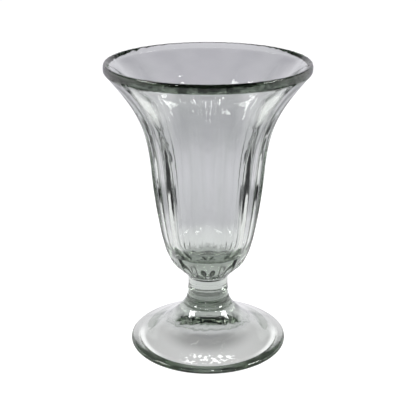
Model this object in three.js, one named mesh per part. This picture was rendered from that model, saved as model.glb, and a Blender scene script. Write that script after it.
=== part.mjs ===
// A pressed sundae glass in four pieces of clear glass, fused face to face on one axis:
// a panelled bowl with a rolled rim, a short collar, a flared stem and a round foot.
// Millimetres, +Z up. The origin is on the axis, on the surface that the foot stands on.

import * as THREE from "three";

// Heights of the pieces, stacked from the standing surface up
const FOOT_HEIGHT = 18.5;
const STEM_HEIGHT = 11;
const COLLAR_HEIGHT = 7.5;
const BOWL_HEIGHT = 113;

// Foot: a low concave cone with a thin rounded edge, and a bell-shaped hollow inside a flat bearing ring.
// Slopes are degrees below level, going outward
const FOOT_DIAMETER = 82;
const FOOT_EDGE_HEIGHT = 1.5; // the widest point
const BRIM_WIDTH = 4; // the band where the slope rolls over into the edge
const BRIM_HEIGHT = 4.2;
const BRIM_SLOPE = 25;
const BEARING_INSET = 1.6; // from the widest point in to the bearing ring
const BEARING_WIDTH = 4.4;
const HOLLOW_DEPTH = 12.5;
const HOLLOW_KNEE_DIAMETER = 54; // where the bell begins to flatten out
const HOLLOW_KNEE_HEIGHT = 4;
const HOLLOW_KNEE_SLOPE = 32;
const HOLLOW_EDGE_SLOPE = 8;

// Stem: flares from the collar down into the foot
const STEM_FOOT_DIAMETER = 29.8;
const STEM_FOOT_SLOPE = 47; // where the stem runs into the foot
const STEM_SHOULDER_STEP = 0.3; // how far the top of the stem stands in from the collar

// Collar: a short drum with slightly hollow sides
const COLLAR_DIAMETER = 21.3;
const COLLAR_HOLLOW = 0.3;

// Bowl, outside. Diameters are across the ridges, rises are above the bowl's own base,
// leans are degrees from upright
const RIM_DIAMETER = 102;
const BEAD_HEIGHT = 4.8; // the bead is an upright squarish round
const BEAD_WIDTH = 2.4;
const BEAD_SQUARENESS = 2.6; // 2 is an ellipse, more is squarer
const BEAD_OUTER_JOIN = -56; // degrees round the bead, from straight out, where the outer wall runs into it
const BEAD_INNER_JOIN = 120;
const LIP_LEAN = 40;
const WAIST_DIAMETER = 58.4;
const WAIST_RISE = 59;
const WAIST_LEAN = 4.4;
const SHOULDER_DIAMETER = 42.2;
const SHOULDER_RISE = 13.3;
const SHOULDER_LEAN = 24.7;
const BASE_LEAN = 39.6;

// Bowl, inside
const WAIST_WALL = 4.2;
const FLOOR_THICKNESS = 13.5;
const FLOOR_DIAMETER = 20;
const HIP_DIAMETER = 39; // where the round of the floor ends
const HIP_RISE = 9; // above the floor
const HIP_LEAN = 11;
const INNER_LIP_LEAN = 46;

// Panels pressed flat into the outside of the bowl, each with an arched top and a round toe
const PANEL_COUNT = 12;
const RIDGE_WIDTH = 1.4; // round land left between two panels
const PANEL_TOP_DROP = 5.5; // from the top of the rim down to the crown of the arch
const PANEL_ARCH_RISE = 15;
const PANEL_TOE_RISE = 3.5; // from the base of the bowl up to the toe
const PANEL_TOE_LENGTH = 5;

// How far each curved span reaches along its end directions, as a share of its chord
const SHOULDER_FULLNESS = 0.64;
const BODY_FULLNESS = 0.2;
const FLARE_FULLNESS = 0.43;
const CROWN_FULLNESS = 0.3;
const SOFT_FULLNESS = 0.36;

// Facets
const STEPS_PER_PANEL = 6;
const STEPS_ROUND = PANEL_COUNT * STEPS_PER_PANEL;

const GLASS_COLOUR = 0xcdd6d0;
const GLASS_ROUGHNESS = 0.05;
const GLASS_OPACITY = 0.45;

const radians = THREE.MathUtils.degToRad;
const point = (radius, height) => new THREE.Vector2(radius, height);

const stemBase = FOOT_HEIGHT;
const collarBase = stemBase + STEM_HEIGHT;
const bowlBase = collarBase + COLLAR_HEIGHT;
const rimTop = bowlBase + BOWL_HEIGHT;

// A curve between two profile points that leaves and arrives at given leans from upright, in degrees
function span(from, fromLean, to, toLean, fullness) {
  const reach = from.distanceTo(to) * fullness;
  const along = (lean) => point(Math.sin(radians(lean)), Math.cos(radians(lean))).multiplyScalar(reach);
  return new THREE.CubicBezierCurve(from, from.clone().add(along(fromLean)), to.clone().sub(along(toLean)), to);
}

// Points round the bead, from the outer wall over the top to the inner wall
function beadPoints(steps) {
  const squared = (share) => Math.sign(share) * Math.abs(share) ** (2 / BEAD_SQUARENESS);
  return Array.from({ length: steps + 1 }, (_, step) => {
    const angle = radians(THREE.MathUtils.lerp(BEAD_OUTER_JOIN, BEAD_INNER_JOIN, step / steps));
    const across = (squared(Math.cos(angle)) - 1) * BEAD_WIDTH / 2;
    const up = (squared(Math.sin(angle)) - 1) * BEAD_HEIGHT / 2;
    return point(RIM_DIAMETER / 2 + across, rimTop + up);
  });
}

// Joins stretches of profile points end to end, keeping one point where two stretches meet
function trace(...stretches) {
  const meets = (p, index, all) => index > 0 && p.distanceTo(all[index - 1]) < 1e-6;
  return stretches.flat().filter((p, index, all) => !meets(p, index, all));
}

// Turns a profile round the Z axis; the seam faces -Y
function revolve(profile) {
  return new THREE.LatheGeometry(profile, STEPS_ROUND).rotateX(Math.PI / 2);
}

function glassPiece(name, geometry) {
  const material = new THREE.MeshStandardMaterial({
    color: GLASS_COLOUR,
    roughness: GLASS_ROUGHNESS,
    metalness: 0,
    transparent: true,
    opacity: GLASS_OPACITY,
  });
  const mesh = new THREE.Mesh(geometry, material);
  mesh.name = name;
  return mesh;
}

function foot() {
  const edgeRadius = FOOT_DIAMETER / 2;
  const bearingRadius = edgeRadius - BEARING_INSET;
  const crown = point(0, HOLLOW_DEPTH);
  const knee = point(HOLLOW_KNEE_DIAMETER / 2, HOLLOW_KNEE_HEIGHT);
  const hollowEdge = point(bearingRadius - BEARING_WIDTH, 0);
  const edge = point(edgeRadius, FOOT_EDGE_HEIGHT);
  const brim = point(edgeRadius - BRIM_WIDTH, BRIM_HEIGHT);
  const weld = point(STEM_FOOT_DIAMETER / 2, stemBase);
  const profile = trace(
    span(crown, 90, knee, 90 + HOLLOW_KNEE_SLOPE, CROWN_FULLNESS).getPoints(6),
    span(knee, 90 + HOLLOW_KNEE_SLOPE, hollowEdge, 90 + HOLLOW_EDGE_SLOPE, SOFT_FULLNESS).getPoints(3),
    span(point(bearingRadius, 0), 90, edge, 0, SOFT_FULLNESS).getPoints(3),
    span(edge, 0, brim, BRIM_SLOPE - 90, SOFT_FULLNESS).getPoints(4),
    span(brim, BRIM_SLOPE - 90, weld, STEM_FOOT_SLOPE - 90, SOFT_FULLNESS).getPoints(6),
    [point(0, stemBase)],
  );
  return glassPiece("foot", revolve(profile));
}

function stem() {
  const foot = point(STEM_FOOT_DIAMETER / 2, stemBase);
  const neck = point(COLLAR_DIAMETER / 2 - STEM_SHOULDER_STEP, collarBase);
  const profile = trace(
    [point(0, stemBase)],
    span(foot, STEM_FOOT_SLOPE - 90, neck, 0, SOFT_FULLNESS).getPoints(7),
    [point(0, collarBase)],
  );
  return glassPiece("stem", revolve(profile));
}

function collar() {
  const radius = COLLAR_DIAMETER / 2;
  const side = new THREE.QuadraticBezierCurve(
    point(radius, collarBase),
    point(radius - 2 * COLLAR_HOLLOW, collarBase + COLLAR_HEIGHT / 2),
    point(radius, bowlBase),
  );
  const profile = trace([point(0, collarBase)], side.getPoints(4), [point(0, bowlBase)]);
  return glassPiece("collar", revolve(profile));
}

// Half the angle that a panel spans at a height, narrowing to nothing round its arch and its toe
function panelHalfAngle(radius, height) {
  const widest = Math.PI / PANEL_COUNT - RIDGE_WIDTH / 2 / radius;
  const archSpring = rimTop - PANEL_TOP_DROP - PANEL_ARCH_RISE;
  const toeSpring = bowlBase + PANEL_TOE_RISE + PANEL_TOE_LENGTH;
  const intoArch = (height - archSpring) / PANEL_ARCH_RISE;
  const intoToe = (toeSpring - height) / PANEL_TOE_LENGTH;
  const intoEnd = THREE.MathUtils.clamp(Math.max(intoArch, intoToe), 0, 1);
  return widest * Math.sqrt(1 - intoEnd ** 2);
}

// Presses the panels into the given rows of a revolved wall: inside a panel the wall follows its chord
function pressPanels(geometry, rowCount, firstRow, lastRow) {
  const pitch = (2 * Math.PI) / PANEL_COUNT;
  const position = geometry.getAttribute("position");
  for (let index = 0; index < position.count; index += 1) {
    const row = index % rowCount;
    if (row < firstRow || row > lastRow) continue;
    const x = position.getX(index);
    const y = position.getY(index);
    const angle = Math.atan2(x, -y);
    const fromCentre = angle - pitch * Math.round(angle / pitch);
    const half = panelHalfAngle(Math.hypot(x, y), position.getZ(index));
    if (Math.abs(fromCentre) >= half) continue;
    const inward = Math.cos(half) / Math.cos(fromCentre);
    position.setXY(index, x * inward, y * inward);
  }
  return geometry;
}

function bowl() {
  const bead = beadPoints(9);
  const base = point(COLLAR_DIAMETER / 2, bowlBase);
  const shoulder = point(SHOULDER_DIAMETER / 2, bowlBase + SHOULDER_RISE);
  const waist = point(WAIST_DIAMETER / 2, bowlBase + WAIST_RISE);
  const outerWall = trace(
    span(base, BASE_LEAN, shoulder, SHOULDER_LEAN, SHOULDER_FULLNESS).getPoints(7),
    span(shoulder, SHOULDER_LEAN, waist, WAIST_LEAN, BODY_FULLNESS).getPoints(5),
    span(waist, WAIST_LEAN, bead[0], LIP_LEAN, FLARE_FULLNESS).getPoints(11),
  );

  const floorHeight = bowlBase + FLOOR_THICKNESS;
  const floorEdge = point(FLOOR_DIAMETER / 2, floorHeight);
  const hip = point(HIP_DIAMETER / 2, floorHeight + HIP_RISE);
  const innerWaist = point(waist.x - WAIST_WALL, waist.y);
  const innerWall = trace(
    span(floorEdge, 90, hip, HIP_LEAN, SOFT_FULLNESS).getPoints(5),
    span(hip, HIP_LEAN, innerWaist, WAIST_LEAN, SOFT_FULLNESS).getPoints(3),
    span(innerWaist, WAIST_LEAN, bead.at(-1), INNER_LIP_LEAN, FLARE_FULLNESS).getPoints(7),
  ).reverse();

  const profile = trace(
    [point(0, bowlBase)], outerWall, bead, innerWall, [point(0, floorHeight)],
  );
  return glassPiece("bowl", pressPanels(revolve(profile), profile.length, 1, outerWall.length));
}

const sundaeGlass = new THREE.Group();
sundaeGlass.add(foot(), stem(), collar(), bowl());

export default sundaeGlass;
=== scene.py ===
# The looks of a pressed sundae glass: four pieces of clear glass fused face to face, in a plain studio.
# The forms of the glass are in millimetres, which become metres as each mesh is made.
# Its surface and the studio are in metres.
import math

import bpy
import numpy as np
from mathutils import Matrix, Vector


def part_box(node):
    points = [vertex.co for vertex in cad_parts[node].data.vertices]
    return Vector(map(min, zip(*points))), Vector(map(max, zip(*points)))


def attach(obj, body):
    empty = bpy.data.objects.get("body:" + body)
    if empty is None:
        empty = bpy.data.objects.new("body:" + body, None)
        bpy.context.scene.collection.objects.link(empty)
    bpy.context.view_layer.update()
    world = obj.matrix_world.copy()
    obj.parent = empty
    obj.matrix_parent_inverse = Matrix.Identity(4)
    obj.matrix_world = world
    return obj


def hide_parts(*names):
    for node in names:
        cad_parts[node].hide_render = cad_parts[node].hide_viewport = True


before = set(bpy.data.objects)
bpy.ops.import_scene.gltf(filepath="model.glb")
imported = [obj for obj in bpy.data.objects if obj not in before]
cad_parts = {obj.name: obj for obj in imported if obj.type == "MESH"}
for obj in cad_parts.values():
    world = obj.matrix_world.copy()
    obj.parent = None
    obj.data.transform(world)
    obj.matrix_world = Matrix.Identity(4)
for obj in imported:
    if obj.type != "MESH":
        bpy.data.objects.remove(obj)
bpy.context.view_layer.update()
scene = bpy.context.scene

MM = 0.001
DEGREES = 180 / math.pi
UPRIGHT = 0
LEVEL = 90


def top_of(node):
    """The height of a node's upper face above the standing surface."""
    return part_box(node)[1].z / MM


def half_width(node):
    """How far a node reaches from the axis."""
    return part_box(node)[1].x / MM


# Weld heights and radii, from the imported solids
FOOT_TOP = top_of("foot")
STEM_TOP = top_of("stem")
COLLAR_TOP = top_of("collar")
FOOT_RADIUS = half_width("foot")
FLARE_RADIUS = half_width("stem")
COLLAR_RADIUS = half_width("collar")
WELD_GAP = 0.01  # half the hair gap that keeps two weld faces apart

# Foot and stem. Slopes are degrees below level, going outward
FOOT_EDGE_HEIGHT = 1.5
BRIM_WIDTH = 4
BRIM_HEIGHT = 4.2
BRIM_SLOPE = 25
BEARING_INSET = 1.6
BEARING_WIDTH = 4.4
BEARING_EDGE = 0.2  # narrow bands that keep the edges of the bearing ring crisp
HOLLOW_DEPTH = 12.5
KNEE_RADIUS = 27
KNEE_HEIGHT = 4
KNEE_SLOPE = 32
HOLLOW_EDGE_SLOPE = 8
FLARE_SLOPE = 47
NECK_STEP = 0.3
STEM_RINGS = 4
STEM_RING_DEPTH = 0.12
COLLAR_HOLLOW = 0.3

# Bowl. Leans are degrees from upright
RIM_TOP = 150
RIM_RADIUS = 51
BEAD_HEIGHT = 4.8
BEAD_WIDTH = 2.4
BEAD_SQUARENESS = 2.6
BEAD_OUTER_JOIN = -56
BEAD_INNER_JOIN = 120
LIP_LEAN = 40
INNER_LIP_LEAN = 46
WAIST_RADIUS = 29.2
WAIST_RISE = 59
WAIST_LEAN = 4.4
SHOULDER_RADIUS = 21.1
SHOULDER_RISE = 13.3
SHOULDER_LEAN = 24.7
BASE_LEAN = 39.6
WAIST_WALL = 4.2
FLOOR_THICKNESS = 13.5
FLOOR_RADIUS = 10
HIP_RADIUS = 19.5
HIP_RISE = 9
HIP_LEAN = 11

# How far each curved span reaches along its end directions, as a share of its chord
SHOULDER_FULLNESS = 0.64
BODY_FULLNESS = 0.2
FLARE_FULLNESS = 0.43
CROWN_FULLNESS = 0.3
SOFT_FULLNESS = 0.36
PARABOLA_FULLNESS = 1 / 3

# Panels
PANEL_COUNT = 12
RIDGE_ROUND = 4  # radius of the ridges up to the waist
RIDGE_SPREAD = 10  # how much that radius grows above it
PANEL_HOLLOW = 0.7  # how far the middle of a panel lies below flat, at most
PANEL_HOLLOW_HEIGHT = 94  # where it does, near the waist
PANEL_HOLLOW_REACH = 30  # how far above and below that the hollow ends
PANEL_TOP_DROP = 5.5
PANEL_ARCH_RISE = 15
PANEL_TOE_RISE = 3.5
PANEL_TOE_LENGTH = 5
TOE_SCOOP = 1.2
TOE_SCOOP_TOP = 51
TOE_SCOOP_FULL = 44

# Waviness of the pressed surface: height of the waves, their lengths down the wall, and how many go round
RIPPLE = 0.015
RIPPLE_LENGTHS = (6, 14)
RIPPLE_COUNTS = (5, 26)
RIPPLE_SINES = 6
RIPPLE_FADE = 3  # how far from a flat face the waves reach their full height
RIPPLE_AXIS_FADE = 8  # the same from the axis
BEAD_RIPPLE = 0.06
BEAD_RIPPLE_COUNTS = (24, 90)

# Mesh
STEPS_PER_PANEL = 32
EVEN_SHARE = 0.45  # 1 spaces the steps evenly, and less draws them towards the ridges
SAME_POINT = 1e-4  # points of a profile that are closer than this are one
TINY = 1e-6

# Glass: its body, soft dimples, cords of slightly different colour, and wear where it stands
GLASS_IOR = 1.52
GLASS_TINT = (0.74, 0.77, 0.735)
GLASS_DENSITY = 98
DIMPLE_SCALE = 260
DIMPLE_DEPTH = 0.00003
CORD_SCALE = 45
CORD_COLOUR = (0.96, 0.975, 0.96)
WEAR_ROUGHNESS = 0.25
WEAR_HEIGHTS = (0.00005, 0.0003)  # where the wear begins to fade, and where it ends

# Table that shows in the glass. Its glow is painted light and shade: it dims with distance, is brighter at
# the lit sides, and has a painted shade on the camera's side that is darkest just past the foot. One colour
# turns into the next between two limits, which are distances from the axis, or bearings in degrees from +Y,
# the same to the left and to the right
TABLE_NEAR = (1.02, 1.01, 1.05)
TABLE_MIDDLE = (0.71, 0.695, 0.75)
TABLE_FAR = (0.56, 0.545, 0.6)
TABLE_SIDES = (1.1, 1.09, 1.11)
TABLE_FRONT_SHADE = (0.22, 0.22, 0.23)
MIDDLE_FADE = (0.07, 0.15)
FAR_FADE = (0.25, 0.8)
SIDES_BEARINGS = (28, 55)
FRONT_BEARINGS = (90, 120)
FRONT_START = (0.034, 0.04)
FRONT_END = (0.12, 0.25)

# Dark cards on the table: bearing, half width in degrees, nearest edge and farthest edge
CARDS = (
    (89, 12, 0.12, 0.3),
    (74, 9, 0.19, 0.29),
    (48, 18, 0.163, 0.226),
    (44, 15, 0.325, 0.385),
)
CARD_COLOUR = (0.004, 0.005, 0.004)
CARD_SOFT_BEARING = 5
CARD_SOFT_EDGE = 0.016

# Light under the foot, as a share of the table's. Each reach is a start, an end and the softness of both
FOOT_SHADE = 0.36
FOOT_SHADE_FADE = (0.009, 0.026)
BRIM_SHADE = 0.66
BRIM_SHADE_FADE = (0.04, 0.055)
RING_LEVEL = 0.5
RING_REACH = (0.0325, 0.036, 0.001)
RING_REACH_Y = (-0.022, 0.004, 0.006)
SPARKLE_LEVEL = 0.7
SPARKLE_SCALE = 420
SPARKLE_CUT = (0.5, 0.62)
SPARKLE_REACH_X = (-0.012, 0.013, 0.004)
SPARKLE_REACH_Y = (-0.031, -0.023, 0.002)

# Floor that the camera sees
FLOOR_SPREAD = 3
FLOOR_DROP = 0.0003
FLOOR_CORNER_STEP = 5  # degrees
FLOOR_COLOUR = (0.4, 0.4, 0.4)
FLOOR_GLOW = 0.9

# Room that shows in the glass. Bearings are as for the table, and elevations are degrees above level
BACKDROP = (0.85, 0.84, 0.88)
BACK_SHEET = (0.95, 0.93, 0.98)
SIDE_WALLS = (1.5, 1.5, 1.5)
DARK_ROOM = (0.02, 0.02, 0.022)
SIDE_WALL_BEARINGS = (25, 70)
DARK_ROOM_BEARINGS = (95, 120)
CEILING_ELEVATIONS = (14, 28)
SHEET_BEARINGS = (14, 34)
SHEET_REACH_UP = (12, 62, 6)

# Softboxes: name, bearing from +Y round to +X, elevation, and size
SOFTBOX_LEVEL = 20
SOFTBOX_DISTANCE = 1.2
SOFTBOX_AIM = (0, 0, 0.12)
SOFTBOXES = (
    ("left_softbox", -103, 34, (0.5, 0.24)),
    ("right_softbox", 103, 34, (0.5, 0.24)),
    ("strip_1", 140, 30, (0.05, 0.22)),
    ("strip_2", 160, 33, (0.03, 0.1)),
    ("strip_3", 172, 28, (0.06, 0.14)),
    ("strip_4", 184, 32, (0.03, 0.2)),
    ("strip_5", 191, 26, (0.05, 0.08)),
    ("strip_6", 218, 30, (0.05, 0.22)),
)

# Enough bounces for light to pass through both walls of the bowl, and through the welds
BOUNCES = 32
WELD_BOUNCES = 48

# Camera, fitted to the outline in the photograph, with its focal length in pixels of the photograph
CAMERA_PLACE = (0, -0.4566, 0.2448)
CAMERA_DIP = 20.52  # degrees below level
FOCAL_PIXELS = 949.6
PHOTO_PIXELS = 416
SENSOR_WIDTH = 36  # millimetres


def along(lean):
    """The direction, out and up, that leans so many degrees from upright."""
    return np.array([math.sin(math.radians(lean)), math.cos(math.radians(lean))])


def span(start, start_lean, end, end_lean, fullness, count):
    """So many points of a curve that leaves and arrives at given leans from upright."""
    start, end = np.array(start, float), np.array(end, float)
    reach = np.hypot(*(end - start)) * fullness
    a = start + along(start_lean) * reach
    b = end - along(end_lean) * reach
    t = np.linspace(0, 1, count)[:, None]
    return (1 - t) ** 3 * start + 3 * t * (1 - t) ** 2 * a + 3 * t * t * (1 - t) * b + t ** 3 * end


def bead_arc(count):
    """Points round the rim's squarish bead, from the outer wall over the top to the inner wall."""
    t = np.radians(np.linspace(BEAD_OUTER_JOIN, BEAD_INNER_JOIN, count))
    across, up = [np.sign(c) * np.abs(c) ** (2 / BEAD_SQUARENESS) / 2 for c in (np.cos(t), np.sin(t))]
    return np.stack([RIM_RADIUS + BEAD_WIDTH * (across - 0.5), RIM_TOP + BEAD_HEIGHT * (up - 0.5)], 1)


def disc(height, start, end, count=6):
    """Points straight across a flat face, from one radius to another."""
    radii = np.linspace(start, end, count)
    return np.stack([radii, np.full(count, height)], 1)


def panel_radius(radius, height, fold):
    """The wall's radius in one row, over angles from the middle of a panel. The panels are slightly hollow
    and have scooped toes. The round ridges between them widen to a full round at the arch and the toe."""
    arch_spring = RIM_TOP - PANEL_TOP_DROP - PANEL_ARCH_RISE
    toe_spring = COLLAR_TOP + PANEL_TOE_RISE + PANEL_TOE_LENGTH
    into_arch = (height - arch_spring) / PANEL_ARCH_RISE
    into_toe = (toe_spring - height) / PANEL_TOE_LENGTH
    into_end = np.clip(max(into_arch, into_toe), 0, 1)
    width_share = math.sqrt(1 - into_end ** 2)

    above_waist = (height - PANEL_HOLLOW_HEIGHT) / PANEL_HOLLOW_REACH
    ridge_round = RIDGE_ROUND + RIDGE_SPREAD * np.clip(above_waist, 0, 1) ** 2
    centre = (radius - ridge_round) * width_share
    round_radius = radius - centre
    half = math.pi / PANEL_COUNT
    off_ridge = half - np.abs(fold)
    beyond = np.maximum(round_radius ** 2 - (centre * np.sin(off_ridge)) ** 2, 0)
    ridge = centre * np.cos(off_ridge) + np.sqrt(beyond)

    flat = centre * math.cos(half) + round_radius
    edge = math.atan(centre * math.sin(half) / flat)
    hollow = PANEL_HOLLOW * (1 - min(abs(above_waist), 1) ** 2) ** 2
    into_scoop = np.clip((TOE_SCOOP_TOP - height) / (TOE_SCOOP_TOP - TOE_SCOOP_FULL), 0, 1)
    scoop = TOE_SCOOP * into_scoop ** 2 * (3 - 2 * into_scoop) * width_share
    dish = np.clip(1 - (fold / max(edge, TINY)) ** 2, 0, None)
    panel = flat / np.cos(fold) - hollow * dish - scoop * dish ** 2
    return np.where(np.abs(fold) < edge, panel, ridge)


def round_angles():
    """Angles round the axis from -Y, closer together at the ridges, and how far each is from the middle of
    its panel."""
    t = np.arange(STEPS_PER_PANEL) / STEPS_PER_PANEL * 2 - 1
    pitch = 2 * math.pi / PANEL_COUNT
    fold = pitch / 2 * (EVEN_SHARE * t + (1 - EVEN_SHARE) * np.sin(t * math.pi / 2))
    turns = np.arange(PANEL_COUNT)[:, None] * pitch
    return (turns + fold[None, :]).ravel(), np.tile(fold, PANEL_COUNT)


ANGLES, FOLDS = round_angles()


def waves(seed, height, counts, lengths):
    """Gentle waves over a turned surface, in rows down its profile, from sines that close round the axis."""
    rng = np.random.default_rng(seed)
    total = np.zeros((len(lengths), len(ANGLES)))
    for _ in range(RIPPLE_SINES):
        count = rng.integers(*counts)
        pitch = rng.uniform(*RIPPLE_LENGTHS)
        phase = rng.uniform(0, 2 * math.pi)
        total += np.sin(count * ANGLES[None, :] + 2 * math.pi * lengths[:, None] / pitch + phase)
    return height * total / (RIPPLE_SINES / 2)


def joined(stretches):
    """The rows of a profile from its stretches, the kind of each row, and the rows with a sharp corner."""
    rows, kinds, sharp = [], [], []
    for points, kind, corner in stretches:
        for index, (radius, height) in enumerate(points):
            if rows and math.hypot(radius - rows[-1][0], height - rows[-1][1]) < SAME_POINT:
                if index == 0 and corner:
                    sharp.append(len(rows) - 1)
                kinds[-1] = kind
                continue
            rows.append((radius, height))
            kinds.append(kind)
    return rows, kinds, sharp


def ripples(profile, kinds):
    """How far the waves move each point out and up, square to the wall. Flat faces stay still."""
    wall_seed, bead_seed = len(kinds), len(ANGLES)
    steps = np.hypot(*np.diff(profile, axis=0).T)
    lengths = np.concatenate([[0], np.cumsum(steps)])
    still = np.array([kind in ("weld", "flat") for kind in kinds])
    still |= np.concatenate([[True], still[:-1]])
    from_still = np.array([abs(lengths[still] - at).min() for at in lengths])
    calm = np.clip(from_still / RIPPLE_FADE, 0, 1) * np.clip(profile[:, 0] / RIPPLE_AXIS_FADE, 0, 1)
    beaded = np.array([kind == "bead" for kind in kinds])
    lift = waves(wall_seed, RIPPLE, RIPPLE_COUNTS, lengths)
    lift += beaded[:, None] * waves(bead_seed, BEAD_RIPPLE, BEAD_RIPPLE_COUNTS, lengths)
    lift *= calm[:, None]
    slopes = np.gradient(profile, axis=0)
    normals = np.stack([slopes[:, 1], -slopes[:, 0]], 1) / np.hypot(*slopes.T)[:, None]
    return lift[:, :, None] * normals[:, None, :]


def band(a, b, from_point, to_point):
    """The faces between two rows that start at vertices a and b. Either row may be one point on the axis."""
    pairs = [(i, (i + 1) % len(ANGLES)) for i in range(len(ANGLES))]
    if from_point:
        return [(a, b + j, b + i) for i, j in pairs]
    if to_point:
        return [(a + i, a + j, b) for i, j in pairs]
    return [(a + i, a + j, b + j, b + i) for i, j in pairs]


def mark_sharp(mesh, row_of, sharp):
    """Marks the edges that run round the sharp rows."""
    ends = np.empty(len(mesh.edges) * 2, np.int32)
    mesh.edges.foreach_get("vertices", ends)
    ends = row_of[ends.reshape(-1, 2)]
    crease = (ends[:, 0] == ends[:, 1]) & np.isin(ends[:, 0], sharp)
    mesh.attributes.new("sharp_edge", "BOOLEAN", "EDGE").data.foreach_set("value", crease)


def revolve(name, stretches):
    """A closed mesh turned round the axis from stretches of profile points. Each stretch has a kind, which is
    wall, panel, bead, flat or weld, and says if it starts at a sharp corner. Weld faces carry the attribute
    "weld"."""
    rows, kinds, sharp = joined(stretches)
    moves = ripples(np.array(rows), kinds)
    vertices, row_of, starts = [], [], []
    for index, (radius, height) in enumerate(rows):
        starts.append(sum(len(ring) for ring in vertices))
        if radius < TINY:
            vertices.append(np.array([[0, 0, height]]))
            row_of.append([index])
            continue
        radii = np.full(len(ANGLES), radius)
        if kinds[index] == "panel" or (index and kinds[index - 1] == "panel"):
            radii = panel_radius(radius, height, FOLDS)
        radii = radii + moves[index, :, 0]
        heights = height + moves[index, :, 1]
        vertices.append(np.stack([radii * np.sin(ANGLES), -radii * np.cos(ANGLES), heights], 1))
        row_of.append([index] * len(ANGLES))

    faces, welds = [], []
    for index in range(len(rows) - 1):
        from_point, to_point = rows[index][0] < TINY, rows[index + 1][0] < TINY
        between = band(starts[index], starts[index + 1], from_point, to_point)
        faces += between
        welds += [1.0 if kinds[index] == "weld" else 0.0] * len(between)

    mesh = bpy.data.meshes.new(name)
    mesh.from_pydata((np.vstack(vertices) * MM).tolist(), [], faces)
    mesh.shade_smooth()
    mesh.attributes.new("weld", "FLOAT", "FACE").data.foreach_set("value", welds)
    mark_sharp(mesh, np.concatenate(row_of), sharp)
    return mesh


def foot_mesh():
    bearing = FOOT_RADIUS - BEARING_INSET
    hollow = bearing - BEARING_WIDTH
    top = FOOT_TOP - WELD_GAP
    insets = (0, BEARING_EDGE, BEARING_WIDTH / 2, BEARING_WIDTH - BEARING_EDGE, BEARING_WIDTH)
    ring = np.array([[hollow + inset, 0] for inset in insets])
    crown = (0, HOLLOW_DEPTH)
    knee = (KNEE_RADIUS, KNEE_HEIGHT)
    knee_lean = LEVEL + KNEE_SLOPE
    edge = (FOOT_RADIUS, FOOT_EDGE_HEIGHT)
    brim = (FOOT_RADIUS - BRIM_WIDTH, BRIM_HEIGHT)
    brim_lean = BRIM_SLOPE - LEVEL
    flare = (FLARE_RADIUS, top)
    return revolve("foot_glass", [
        (span(crown, LEVEL, knee, knee_lean, CROWN_FULLNESS, 50), "wall", False),
        (span(knee, knee_lean, (hollow, 0), LEVEL + HOLLOW_EDGE_SLOPE, SOFT_FULLNESS, 40), "wall", False),
        (ring, "flat", False),
        (span((bearing, 0), LEVEL, edge, UPRIGHT, SOFT_FULLNESS, 12), "wall", False),
        (span(edge, UPRIGHT, brim, brim_lean, SOFT_FULLNESS, 24), "wall", False),
        (span(brim, brim_lean, flare, FLARE_SLOPE - LEVEL, SOFT_FULLNESS, 40), "wall", False),
        (disc(top, FLARE_RADIUS, 0), "weld", True),
    ])


def stem_mesh():
    low, top = FOOT_TOP + WELD_GAP, STEM_TOP - WELD_GAP
    neck = COLLAR_RADIUS - NECK_STEP
    side = span((FLARE_RADIUS, low), FLARE_SLOPE - LEVEL, (neck, top), UPRIGHT, SOFT_FULLNESS, 60)
    rise = (side[:, 1] - low) / (top - low)
    side[:, 0] += STEM_RING_DEPTH * np.sin(2 * math.pi * STEM_RINGS * rise) * np.sin(math.pi * rise)
    return revolve("stem_glass", [
        (disc(low, 0, FLARE_RADIUS), "weld", False),
        (side, "wall", True),
        (disc(top, neck, 0), "weld", True),
    ])


def collar_mesh():
    low, top = STEM_TOP + WELD_GAP, COLLAR_TOP - WELD_GAP
    neck = COLLAR_RADIUS - NECK_STEP
    # The lean at the ends of a parabola that is as deep as the hollow
    lean = math.degrees(math.atan(4 * COLLAR_HOLLOW / (top - low)))
    side = span((COLLAR_RADIUS, low), -lean, (COLLAR_RADIUS, top), lean, PARABOLA_FULLNESS, 14)
    return revolve("collar_glass", [
        (disc(low, 0, neck), "weld", False),
        (disc(low, neck, COLLAR_RADIUS, 3), "wall", False),
        (side, "wall", True),
        (disc(top, COLLAR_RADIUS, 0), "weld", True),
    ])


def bowl_mesh():
    low = COLLAR_TOP + WELD_GAP
    bead = bead_arc(30)
    base = (COLLAR_RADIUS, low)
    shoulder = (SHOULDER_RADIUS, COLLAR_TOP + SHOULDER_RISE)
    waist = (WAIST_RADIUS, COLLAR_TOP + WAIST_RISE)
    floor = COLLAR_TOP + FLOOR_THICKNESS
    hip = (HIP_RADIUS, floor + HIP_RISE)
    inner_waist = (WAIST_RADIUS - WAIST_WALL, waist[1])
    inner = np.vstack([
        span((FLOOR_RADIUS, floor), LEVEL, hip, HIP_LEAN, SOFT_FULLNESS, 18),
        span(hip, HIP_LEAN, inner_waist, WAIST_LEAN, SOFT_FULLNESS, 20),
        span(inner_waist, WAIST_LEAN, bead[-1], INNER_LIP_LEAN, FLARE_FULLNESS, 44),
    ])
    return revolve("bowl_glass", [
        (disc(low, 0, COLLAR_RADIUS), "weld", False),
        (span(base, BASE_LEAN, shoulder, SHOULDER_LEAN, SHOULDER_FULLNESS, 36), "panel", True),
        (span(shoulder, SHOULDER_LEAN, waist, WAIST_LEAN, BODY_FULLNESS, 24), "panel", False),
        (span(waist, WAIST_LEAN, bead[0], LIP_LEAN, FLARE_FULLNESS, 60), "panel", False),
        (bead, "bead", False),
        (inner[::-1], "wall", False),
        (disc(floor, FLOOR_RADIUS, 0), "wall", False),
    ])


def maths(tree, operation, first, second=0.0, third=0.0):
    """A Math node on sockets or plain numbers."""
    node = tree.nodes.new("ShaderNodeMath")
    node.operation = operation
    for into, value in zip(node.inputs, (first, second, third)):
        if isinstance(value, (int, float)):
            into.default_value = value
        else:
            tree.links.new(value, into)
    return node.outputs[0]


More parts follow.
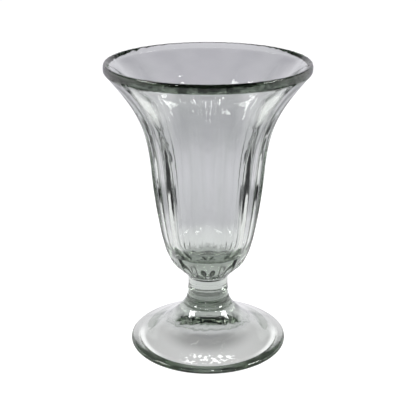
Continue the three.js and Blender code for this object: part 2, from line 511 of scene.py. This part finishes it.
def smooth_step(tree, value, low, high):
    """0 below low and 1 above high, with a soft change between them."""
    node = tree.nodes.new("ShaderNodeMapRange")
    node.interpolation_type = "SMOOTHSTEP"
    node.inputs["From Min"].default_value = low
    node.inputs["From Max"].default_value = high
    tree.links.new(value, node.inputs["Value"])
    return node.outputs["Result"]


def window(tree, value, low, high, soft):
    """1 between low and high, and 0 outside, with soft edges."""
    rise = smooth_step(tree, value, low - soft, low + soft)
    fall = smooth_step(tree, value, high - soft, high + soft)
    return maths(tree, "SUBTRACT", rise, fall)


def mixed(tree, share, first, second):
    """The first colour where share is 0, and the second where it is 1. Each is a socket or a colour."""
    node = tree.nodes.new("ShaderNodeMix")
    node.data_type = "RGBA"
    tree.links.new(share, node.inputs["Factor"])
    for into, colour in ((node.inputs["A"], first), (node.inputs["B"], second)):
        if isinstance(colour, tuple):
            into.default_value = (*colour, 1)
        else:
            tree.links.new(colour, into)
    return node.outputs["Result"]


def noise(tree, place, scale):
    """Soft noise, from 0 to 1, at a place."""
    node = tree.nodes.new("ShaderNodeTexNoise")
    node.inputs["Scale"].default_value = scale
    node.inputs["Detail"].default_value = 1.0
    tree.links.new(place, node.inputs["Vector"])
    return node.outputs["Fac"]


def axes(tree, vector):
    """The x, y and z of a vector."""
    node = tree.nodes.new("ShaderNodeSeparateXYZ")
    tree.links.new(vector, node.inputs[0])
    return node.outputs


def distance(tree, x, y):
    """How far a place is from the axis."""
    return maths(tree, "SQRT", maths(tree, "MULTIPLY_ADD", x, x, maths(tree, "MULTIPLY", y, y)))


def turn_aside(tree, x, y):
    """The bearing of a place or direction in degrees from +Y, the same to the left and to the right."""
    return maths(tree, "ABSOLUTE", maths(tree, "MULTIPLY", maths(tree, "ARCTAN2", x, y), DEGREES))


def by_viewer(tree, for_glass, for_camera):
    """One shader for what shows in the glass, and another for what the camera sees beside it."""
    path = tree.nodes.new("ShaderNodeLightPath")
    mix = tree.nodes.new("ShaderNodeMixShader")
    tree.links.new(path.outputs["Is Camera Ray"], mix.inputs[0])
    tree.links.new(for_glass, mix.inputs[1])
    tree.links.new(for_camera, mix.inputs[2])
    return mix.outputs[0]


def glass_material(name):
    """Clear glass that darkens with the length of glass passed through, with the faint unevenness of a
    pressed surface, fine cords in its colour and a worn bearing ring. Weld faces let light straight
    through."""
    material = bpy.data.materials.new(name)
    material.use_nodes = True
    tree = material.node_tree
    shader = tree.nodes["Principled BSDF"]
    shader.inputs["Transmission Weight"].default_value = 1.0
    shader.inputs["IOR"].default_value = GLASS_IOR
    place = tree.nodes.new("ShaderNodeTexCoord").outputs["Object"]
    dimples = noise(tree, place, DIMPLE_SCALE)
    bump = tree.nodes.new("ShaderNodeBump")
    bump.inputs["Strength"].default_value = 1.0
    bump.inputs["Distance"].default_value = DIMPLE_DEPTH
    tree.links.new(dimples, bump.inputs["Height"])
    tree.links.new(bump.outputs[0], shader.inputs["Normal"])
    cords = noise(tree, place, CORD_SCALE)
    tree.links.new(mixed(tree, cords, (1, 1, 1), CORD_COLOUR), shader.inputs["Base Color"])
    clear_of_table = smooth_step(tree, axes(tree, place)[2], *WEAR_HEIGHTS)
    worn = maths(tree, "MULTIPLY", maths(tree, "SUBTRACT", 1.0, clear_of_table), dimples)
    tree.links.new(maths(tree, "MULTIPLY", worn, WEAR_ROUGHNESS), shader.inputs["Roughness"])
    weld = tree.nodes.new("ShaderNodeAttribute")
    weld.attribute_name = "weld"
    tree.links.new(maths(tree, "SUBTRACT", 1.0, weld.outputs["Fac"]), shader.inputs["Alpha"])
    absorb = tree.nodes.new("ShaderNodeVolumeAbsorption")
    absorb.inputs["Color"].default_value = (*GLASS_TINT, 1)
    absorb.inputs["Density"].default_value = GLASS_DENSITY
    tree.links.new(absorb.outputs[0], tree.nodes["Material Output"].inputs["Volume"])
    return material


def add_piece(node, mesh):
    """A piece of glass that stands in for a node of the solids."""
    piece = bpy.data.objects.new(mesh.name, mesh)
    scene.collection.objects.link(piece)
    mesh.materials.append(glass_material(mesh.name))
    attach(piece, "root")
    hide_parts(node)


def studio_world():
    """White to the camera. Glass sees a pale backdrop with brighter sides, dark on the camera's side and
    overhead, and a pale sheet that hangs above the backdrop."""
    world = bpy.data.worlds.new("studio")
    scene.world = world
    world.use_nodes = True
    tree = world.node_tree
    tree.nodes.clear()
    x, y, z = axes(tree, tree.nodes.new("ShaderNodeTexCoord").outputs["Generated"])
    elevation = maths(tree, "MULTIPLY", maths(tree, "ARCSINE", z), DEGREES)
    aside = turn_aside(tree, x, y)
    room = mixed(tree, smooth_step(tree, aside, *SIDE_WALL_BEARINGS), BACKDROP, SIDE_WALLS)
    room = mixed(tree, smooth_step(tree, aside, *DARK_ROOM_BEARINGS), room, DARK_ROOM)
    room = mixed(tree, smooth_step(tree, elevation, *CEILING_ELEVATIONS), room, DARK_ROOM)
    across = maths(tree, "SUBTRACT", 1.0, smooth_step(tree, aside, *SHEET_BEARINGS))
    sheet = maths(tree, "MULTIPLY", across, window(tree, elevation, *SHEET_REACH_UP))
    room = mixed(tree, sheet, room, BACK_SHEET)
    shown = tree.nodes.new("ShaderNodeBackground")
    tree.links.new(room, shown.inputs["Color"])
    white = tree.nodes.new("ShaderNodeBackground")
    white.inputs["Color"].default_value = (1, 1, 1, 1)
    output = tree.nodes.new("ShaderNodeOutputWorld")
    tree.links.new(by_viewer(tree, shown.outputs[0], white.outputs[0]), output.inputs[0])


def softbox(name, azimuth, elevation, size):
    """A lamp that faces the bowl and that the camera doesn't see."""
    lamp = bpy.data.lights.new(name, "AREA")
    lamp.shape = "RECTANGLE"
    lamp.size, lamp.size_y = size
    lamp.energy = SOFTBOX_LEVEL * math.pi * size[0] * size[1]
    holder = bpy.data.objects.new(name, lamp)
    scene.collection.objects.link(holder)
    turn, lift = math.radians(azimuth), math.radians(elevation)
    out = Vector((math.sin(turn) * math.cos(lift), math.cos(turn) * math.cos(lift), math.sin(lift)))
    holder.location = Vector(SOFTBOX_AIM) + out * SOFTBOX_DISTANCE
    holder.rotation_euler = (-out).to_track_quat("-Z", "Y").to_euler()
    holder.visible_camera = False


def foot_light(tree, position, x, y, far):
    """How bright the table is: shaded under the foot, with the ring of light and the sparkle of a glass."""
    into_brim = smooth_step(tree, far, *FOOT_SHADE_FADE)
    under_brim = maths(tree, "MULTIPLY_ADD", into_brim, BRIM_SHADE - FOOT_SHADE, FOOT_SHADE)
    past_brim = smooth_step(tree, far, *BRIM_SHADE_FADE)
    shade = maths(tree, "MULTIPLY_ADD", past_brim, 1 - BRIM_SHADE, under_brim)
    ring = maths(tree, "MULTIPLY", window(tree, far, *RING_REACH), window(tree, y, *RING_REACH_Y))
    level = maths(tree, "MULTIPLY_ADD", ring, RING_LEVEL, shade)
    # Painted sparkle of light that the glass casts, in a patch on the table under the front of the foot
    painted_sparkle = smooth_step(tree, noise(tree, position, SPARKLE_SCALE), *SPARKLE_CUT)
    patch = maths(tree, "MULTIPLY", window(tree, y, *SPARKLE_REACH_Y), window(tree, x, *SPARKLE_REACH_X))
    return maths(tree, "MULTIPLY_ADD", maths(tree, "MULTIPLY", painted_sparkle, patch), SPARKLE_LEVEL, level)


def table_colour(tree):
    """A pale table of painted light and shade: it dims with distance, is brighter at the lit sides and has a
    painted shade towards the camera, with dark cards lying on it at the sides and behind the glass."""
    position = tree.nodes.new("ShaderNodeNewGeometry").outputs["Position"]
    x, y = axes(tree, position)[:2]
    far = distance(tree, x, y)
    aside = turn_aside(tree, x, y)
    # Painted light on the table: bright near the glass, dimmer further off, and brighter at the lit sides
    shown = mixed(tree, smooth_step(tree, far, *MIDDLE_FADE), TABLE_NEAR, TABLE_MIDDLE)
    shown = mixed(tree, smooth_step(tree, far, *FAR_FADE), shown, TABLE_FAR)
    shown = mixed(tree, smooth_step(tree, aside, *SIDES_BEARINGS), shown, TABLE_SIDES)
    # Painted shade on the camera's side of the table, darkest just past the foot and easing to the far colour
    # further out
    front = mixed(tree, smooth_step(tree, far, *FRONT_END), TABLE_FRONT_SHADE, TABLE_FAR)
    past_foot = smooth_step(tree, far, *FRONT_START)
    in_front = maths(tree, "MULTIPLY", smooth_step(tree, aside, *FRONT_BEARINGS), past_foot)
    shown = mixed(tree, in_front, shown, front)
    for bearing, half_turn, near_edge, far_edge in CARDS:
        across = window(tree, aside, bearing - half_turn, bearing + half_turn, CARD_SOFT_BEARING)
        card = maths(tree, "MULTIPLY", across, window(tree, far, near_edge, far_edge, CARD_SOFT_EDGE))
        shown = mixed(tree, card, shown, CARD_COLOUR)
    lit = tree.nodes.new("ShaderNodeVectorMath")
    lit.operation = "SCALE"
    tree.links.new(shown, lit.inputs["Vector"])
    tree.links.new(foot_light(tree, position, x, y, far), lit.inputs["Scale"])
    return lit.outputs[0]


def white_floor():
    """White to the camera where no shadow falls, and a pale table to the glass."""
    mesh = bpy.data.meshes.new("floor")
    ring = np.radians(np.arange(0, 360, FLOOR_CORNER_STEP))
    level = np.full(len(ring), -FLOOR_DROP)
    corners = np.stack([FLOOR_SPREAD * np.cos(ring), FLOOR_SPREAD * np.sin(ring), level], 1)
    mesh.from_pydata(corners.tolist(), [], [tuple(range(len(ring)))])
    floor = bpy.data.objects.new("floor", mesh)
    scene.collection.objects.link(floor)
    material = bpy.data.materials.new("floor")
    material.use_nodes = True
    tree = material.node_tree
    tree.nodes.clear()
    lit = tree.nodes.new("ShaderNodeBsdfDiffuse")
    lit.inputs["Color"].default_value = (*FLOOR_COLOUR, 1)
    glow = tree.nodes.new("ShaderNodeEmission")
    glow.inputs["Strength"].default_value = FLOOR_GLOW
    surface = tree.nodes.new("ShaderNodeAddShader")
    tree.links.new(lit.outputs[0], surface.inputs[0])
    tree.links.new(glow.outputs[0], surface.inputs[1])
    table = tree.nodes.new("ShaderNodeEmission")
    tree.links.new(table_colour(tree), table.inputs["Color"])
    output = tree.nodes.new("ShaderNodeOutputMaterial")
    tree.links.new(by_viewer(tree, table.outputs[0], surface.outputs[0]), output.inputs[0])
    material.cycles.emission_sampling = "NONE"
    mesh.materials.append(material)


add_piece("foot", foot_mesh())
add_piece("stem", stem_mesh())
add_piece("collar", collar_mesh())
add_piece("bowl", bowl_mesh())

scene.view_settings.view_transform = "Standard"
scene.cycles.max_bounces = BOUNCES
scene.cycles.transmission_bounces = BOUNCES
scene.cycles.glossy_bounces = BOUNCES
scene.cycles.transparent_max_bounces = WELD_BOUNCES

studio_world()
white_floor()
for lamp in SOFTBOXES:
    softbox(*lamp)

camera = bpy.data.objects.new("camera", bpy.data.cameras.new("camera"))
scene.collection.objects.link(camera)
camera.location = CAMERA_PLACE
camera.rotation_euler = (math.radians(LEVEL - CAMERA_DIP), 0, 0)
camera.data.sensor_width = SENSOR_WIDTH
camera.data.lens = SENSOR_WIDTH * FOCAL_PIXELS / PHOTO_PIXELS
scene.camera = camera
